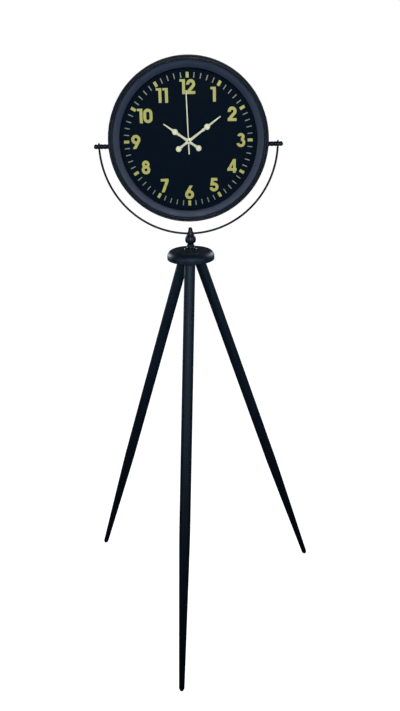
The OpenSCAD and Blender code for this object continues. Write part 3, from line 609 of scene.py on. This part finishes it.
def make_glass():
    """A flat disc whose two edges are ground off at 45 degrees"""
    front = GLASS_BACK + GLASS_T
    ground = 0.3
    profile = [(0, GLASS_BACK), (GLASS_R - ground, GLASS_BACK), (GLASS_R, GLASS_BACK + ground),
               (GLASS_R, front - ground), (GLASS_R - ground, front), (0, front)]
    turned_piece("dial_glass", profile, forward, "glass", "drum", ["glass"], 192)


def make_dial():
    """The dial plate, with a fine pressed line just outside the marks"""
    f = DIAL_FRONT
    profile = [(DIAL_BORE_R, f - 1), (DIAL_R - 0.2, f - 1), (DIAL_R, f - 0.8), (DIAL_R, f - 0.2),
               (DIAL_R - 0.2, f)]
    line = PRESSED_LINE_R
    profile += [(line + 0.7, f), (line + 0.3, f - 0.25), (line - 0.3, f - 0.25), (line - 0.7, f),
                (DIAL_BORE_R, f)]
    turned_piece("dial_disc", profile, forward, "dial_navy", "drum", ["dial_plate"], 192,
                 closed=True)


def make_back_cover():
    """Pressed sheet with a half-round rib, a shallow step and a turned-in hand hole"""
    b = -CASE_BACK
    hole = HAND_HOLE_R
    outer = [(COVER_R - 0.1, b + 1.6), (COVER_R, b + 1.3), (COVER_R, b + 0.9),
             (COVER_R - 0.3, b + 0.6), (RIB_R + 2.6, b + 0.6)]
    for i in range(11):
        angle = math.radians(180 * i / 10)
        outer.append((RIB_R + 2.2 * math.cos(angle), b + 0.6 - 1.0 * math.sin(angle)))
    outer += [(RIB_R - 2.6, b + 0.6), (98.5, b + 0.6), (97.0, b + 0.35), (95.5, b + 0.1),
              (66.0, b + 0.1), (64.5, b + 0.35), (63.0, b + 0.6), (hole + 1.4, b + 0.6)]
    outer += arc(hole + 1.2, b + 1.8, 1.2, 270, 180, 6)
    outer += [(hole, b + 4.3), (hole + 0.3, b + 4.6), (hole + 0.9, b + 4.6), (hole + 1.2, b + 4.3)]
    outer += [(hole + 1.2, b + 1.9), (hole + 1.5, b + 1.6), (63.2, b + 1.6), (64.8, b + 1.3),
              (66.2, b + 1.1), (95.3, b + 1.1), (96.8, b + 1.35), (98.3, b + 1.6)]
    turned_piece("rear_cover", outer, forward, "black_metal", "drum", ["back_cover"], 192,
                 closed=True)


def make_back_screws():
    """Pan heads with a hexagon recess"""
    bm = bmesh.new()
    top = -CASE_BACK - 1.2
    for i in range(6):
        angle = math.radians(30 + 60 * i)
        centre = (COVER_SCREW_CIRCLE_R * math.cos(angle), COVER_SCREW_CIRCLE_R * math.sin(angle))
        place = forward_at(centre)
        profile = [(0, top + 0.75), (1.25, top + 0.75, "hex"), (1.3, top + 0.05, "hex"),
                   (1.75, top), (2.3, top + 0.12), (2.75, top + 0.45), (3.0, top + 0.95),
                   (3.0, top + 1.75), (1.6, top + 1.8), (1.6, 5 - CASE_BACK), (0, 5 - CASE_BACK)]
        turn(bm, profile, place, 36)
    make_piece(bm, "cover_screws", "steel", "drum", ["back_screws"])


# ---------------------------------------------------------------- trunnions
def bead_profile():
    """Three turned beads with grooves between, from the drum's wall to the washer"""
    end = EYE_IN - WASHER_T
    pitch = (end - CASE_X) / 3
    profile = [(3.0, CASE_X - 1.6), (5.0, CASE_X - 1.6)]
    for i in range(3):
        middle = CASE_X + pitch * (i + 0.5)
        for step in range(11):
            across = (step - 5) / 5
            swell = 4.55 + 1.15 * math.cos(math.pi / 2 * across / 1.08) ** 0.62
            profile.append((swell, middle + (pitch / 2 - 0.3) * across))
        if i < 2:
            profile.append((4.5, CASE_X + pitch * (i + 1)))
    profile += [(4.6, end - 0.05), (3.0, end)]
    return profile


def knob_profile():
    """A thin collar, a neck and a rounded knob"""
    start = EYE_OUT + WASHER_T
    profile = [(TRUNNION_BORE_R, start), (5.1, start), (5.4, start + 0.3), (5.4, start + 1.1),
               (5.1, start + 1.4)]
    centre = start + 5.2
    steps = 20
    for i in range(steps + 1):
        angle = math.radians(-38 + 128 * i / steps)
        r = KNOB_R * math.cos(angle) if i < steps else 0
        profile.append((r, centre + KNOB_R * math.sin(angle)))
    return profile


def make_trunnions():
    for side, place in (("left", sideways_left), ("right", sideways)):
        spacer = f"trunnion_spacer_{side}"
        turned_piece(f"beaded_spacer_{side}", bead_profile(), place, "black_metal", "drum",
                     [spacer], 56, closed=True)
        blind_end = EYE_OUT + WASHER_T + KNOB_BORE_DEPTH
        knob = [(0, blind_end), (TRUNNION_BORE_R, blind_end)] + knob_profile()
        turned_piece(f"round_knob_{side}", knob, place, "black_metal",
                     f"{side}_knob", [f"knob_{side}"], 56)


# ---------------------------------------------------------------- hands
# Distances along a hand from the dial's middle, minus towards its tail
HOUR_INLAYS = (37.8, -28.6)
MINUTE_INLAYS = (54.3, -29.1)
# How far forward of the pivot the faces are that these details are set on
HOUR_INLAY_SEAT = 23.3
MINUTE_INLAY_SEAT = 25.1
STUD_SEAT = 26.7


def on_hand(angle_deg, distance):
    """Place on the dial, clockwise from twelve"""
    angle = math.radians(90 - angle_deg)
    return (distance * math.cos(angle), distance * math.sin(angle))


def make_inlays(name, body, angle_deg, distances, front, radius=4.1):
    """Low domes set in the discs of a hand"""
    bm = bmesh.new()
    for distance in distances:
        place = forward_at(on_hand(angle_deg, distance))
        profile = [(0, front - 0.1), (radius, front - 0.1), (radius, front + 0.08)]
        for i in range(1, 8):
            angle = math.radians(90 * i / 7)
            r = radius * math.cos(angle) if i < 7 else 0
            profile.append((r, front + 0.08 + 0.42 * math.sin(angle)))
        turn(bm, profile, place, 40)
    make_piece(bm, name, INLAY, body)


def make_centre_stud():
    """The dark cap over the middle of the second hand"""
    front = STUD_SEAT
    profile = [(0, front - 0.1), (1.9, front - 0.1), (1.9, front + 0.1), (1.6, front + 0.38),
               (0.9, front + 0.52), (0, front + 0.55)]
    turned_piece("centre_stud", profile, forward, DARK_STUD, "seconds_train", segments=32)


def make_hand_details():
    make_inlays("hour_hand_inlays", "hours_train", HOUR_ANGLE, HOUR_INLAYS, HOUR_INLAY_SEAT)
    make_inlays("minute_hand_inlays", "minutes_train", MINUTE_ANGLE, MINUTE_INLAYS,
                MINUTE_INLAY_SEAT)
    make_centre_stud()


# ---------------------------------------------------------------- battery
def make_battery():
    """A plain sleeve with rolled ends, a dark band and a raised contact"""
    low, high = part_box("battery")
    length = (high.x - low.x) / MM - 1
    left = low.x / MM
    radius = (high.z - low.z) / 2 / MM
    middle = Vector((0, (low.y + high.y) / 2 / MM, (low.z + high.z) / 2 / MM))

    def along(r, x, angle):
        return middle + Vector((left + x, r * math.cos(angle), r * math.sin(angle)))

    profile = [(0, 0.35), (4.6, 0.35), (4.9, 0.1), (5.4, 0), (radius - 0.6, 0)]
    profile += [(r, 0.6 + h) for r, h in arc(radius - 0.6, 0, 0.6, -80, 0, 4)]
    profile += [(radius, length * 0.7), (radius, length - 0.8)]
    profile += [(radius - 0.15, length - 0.25), (radius - 0.7, length), (5.2, length),
                (4.7, length - 0.4), (3.0, length - 0.4), (2.7, length - 0.2),
                (2.7, length + 0.7), (2.4, length + 1.0), (0, length + 1.0)]
    piece = turned_piece("battery_cell", profile, along, "cell_case", "cell", ["battery"], 56)
    piece.data.materials.append(BAND)
    start = (left + length * 0.7 - 0.1) * MM
    end = (left + length - 0.9) * MM
    for face in piece.data.polygons:
        if start < face.center.x < end:
            face.material_index = 1


# ---------------------------------------------------------------- CAD nodes that stay
SOFT_EDGES = {
    "numerals": 0.18, "hour_blocks": 0.2, "minute_ticks": 0.16, "hour_hand": 0.2,
    "minute_hand": 0.2, "second_hand": 0.12, "hand_nut": 0.2, "movement_case": 0.25,
    "movement_cover": 0.2, "setting_knob": 0.12, "bush_nut": 0.15, "movement_bush": 0.1,
    "bush_washer": 0.1, "friction_washer": 0.15, "yoke_washers": 0.12, "circuit_board": 0.08,
    "contact_positive": 0.1, "contact_negative": 0.1, "trunnion_plates": 0.3,
    "trunnion_screws": 0.2, "swivel_nut": 0.3, "coil_bobbin": 0.1, "quartz_crystal": 0.2,
    "leg_bolts": 0.2, "glass_gasket": 0.1, "dial_spacer": 0.1,
}


def smooth_edges(node, width_mm):
    """Joins the CAD mesh's split vertices and rounds its edges, without moving any of them"""
    piece = NODES[node]
    weld = piece.modifiers.new("weld", "WELD")
    weld.merge_threshold = 1e-6
    bevel = piece.modifiers.new("soft_edges", "BEVEL")
    bevel.width = width_mm * MM
    bevel.segments = 2
    bevel.limit_method = "ANGLE"
    bevel.angle_limit = math.radians(40)
    bevel.harden_normals = False


def dress_frame():
    """Gives every CAD node its material, and rounds the edges of those that show"""
    for row in frame["record"]["subparts"]:
        piece = NODES[row["node"]]
        piece.data.materials.clear()
        piece.data.materials.append(LOOKS[row["material_slot"]])
    for node, width in SOFT_EDGES.items():
        smooth_edges(node, width)


# ---------------------------------------------------------------- stage, in metres
FLOOR_R = 40
LIGHT_TARGET = (0, 0, 1.3)
CAMERA_PLACE = (-0.0018, -1.7259, 1.5068)


def make_floor():
    """A pale floor that the camera sees and the clock doesn't reflect"""
    bm = bmesh.new()
    bmesh.ops.create_circle(bm, cap_ends=True, segments=96, radius=FLOOR_R)
    mesh = bpy.data.meshes.new("floor")
    bm.to_mesh(mesh)
    bm.free()
    floor = bpy.data.objects.new("floor", mesh)
    bpy.context.scene.collection.objects.link(floor)
    material, tree, shader = new_material("pale_floor")
    vector = coordinates(tree)
    shade = blend_colour(tree, noise(tree, vector, 3.0), (0.86, 0.86, 0.86), (0.9, 0.9, 0.9))
    tree.links.new(shade, shader.inputs["Base Color"])
    shader.inputs["Roughness"].default_value = 0.9
    shader.inputs["Specular IOR Level"].default_value = 0.0
    shader.inputs["Emission Color"].default_value = (1, 1, 1, 1)
    shader.inputs["Emission Strength"].default_value = 0.97
    mesh.materials.append(material)
    floor.visible_glossy = False
    floor.visible_diffuse = False


def make_world():
    """White to the eye, and a dim grey surround as a source of light"""
    world = bpy.data.worlds.new("studio")
    bpy.context.scene.world = world
    world.use_nodes = True
    tree = world.node_tree
    output = tree.nodes["World Output"]
    seen = tree.nodes["Background"]
    seen.inputs["Color"].default_value = (1, 1, 1, 1)
    seen.inputs["Strength"].default_value = 1.02
    surround = tree.nodes.new("ShaderNodeBackground")
    surround.inputs["Color"].default_value = (0.82, 0.9, 1, 1)
    surround.inputs["Strength"].default_value = 0.06
    path = tree.nodes.new("ShaderNodeLightPath")
    mix = tree.nodes.new("ShaderNodeMixShader")
    tree.links.new(path.outputs["Is Camera Ray"], mix.inputs["Fac"])
    tree.links.new(surround.outputs["Background"], mix.inputs[1])
    tree.links.new(seen.outputs["Background"], mix.inputs[2])
    tree.links.new(mix.outputs["Shader"], output.inputs["Surface"])


def add_light(name, place, target, width, height, watts, spread_deg=60):
    light = bpy.data.lights.new(name, "AREA")
    light.shape = "RECTANGLE"
    light.size = width
    light.size_y = height
    light.energy = watts
    light.color = (0.9, 0.96, 1)
    light.spread = math.radians(spread_deg)
    lamp = bpy.data.objects.new(name, light)
    bpy.context.scene.collection.objects.link(lamp)
    lamp.location = place
    aim = Vector(target) - Vector(place)
    lamp.rotation_euler = aim.to_track_quat("-Z", "Y").to_euler()
    lamp.visible_camera = False


def make_lights():
    """Soft light on the head from the front, the sides, above and behind; the legs fade darker"""
    add_light("front_box", (0.05, -3.0, 2.0), (0, 0, 1.28), 0.9, 0.6, 5.5, 40)
    add_light("left_box", (-1.7, -1.7, 1.35), LIGHT_TARGET, 0.7, 1.2, 4.2, 70)
    add_light("right_box", (1.7, -1.7, 1.35), LIGHT_TARGET, 0.7, 1.2, 4.2, 70)
    add_light("top_box", (-0.4, 0.1, 3.2), LIGHT_TARGET, 2.0, 1.6, 1.5, 120)
    add_light("rear_left_box", (-1.9, 2.0, 1.5), LIGHT_TARGET, 0.8, 1.0, 8, 60)
    add_light("rear_right_box", (1.9, 2.0, 1.9), LIGHT_TARGET, 0.8, 1.0, 9, 60)


def make_camera():
    data = bpy.data.cameras.new("camera")
    data.sensor_width = 36
    data.lens = 35.5
    data.shift_x = 0.0013
    data.shift_y = -0.0133
    data.clip_end = 200
    camera = bpy.data.objects.new("camera", data)
    bpy.context.scene.collection.objects.link(camera)
    yaw, pitch, roll = math.radians(0.623), math.radians(22.173), math.radians(-0.958)
    turn_to_view = Matrix.Rotation(-yaw, 4, "Z") @ Matrix.Rotation(math.pi / 2 - pitch, 4, "X")
    turn_to_view = turn_to_view @ Matrix.Rotation(roll, 4, "Z")
    camera.matrix_world = Matrix.Translation(CAMERA_PLACE) @ turn_to_view
    bpy.context.scene.camera = camera


def set_view():
    view = bpy.context.scene.view_settings
    view.view_transform = "Standard"
    view.look = "None"


dress_frame()
for leg_name, leg_turn in (("leg_front", 0), ("leg_right", 120), ("leg_left", 240)):
    make_leg(leg_name, leg_turn)
make_hub()
make_foot_pads()
make_finial_base()
make_finial_bulb()
make_finial_cap()
make_yoke()
make_yoke_eyes()
make_case()
make_moulding()
make_ring()
make_glass()
make_dial()
make_back_cover()
make_back_screws()
make_trunnions()
make_hand_details()
make_battery()
make_floor()
make_world()
make_lights()
make_camera()
set_view()
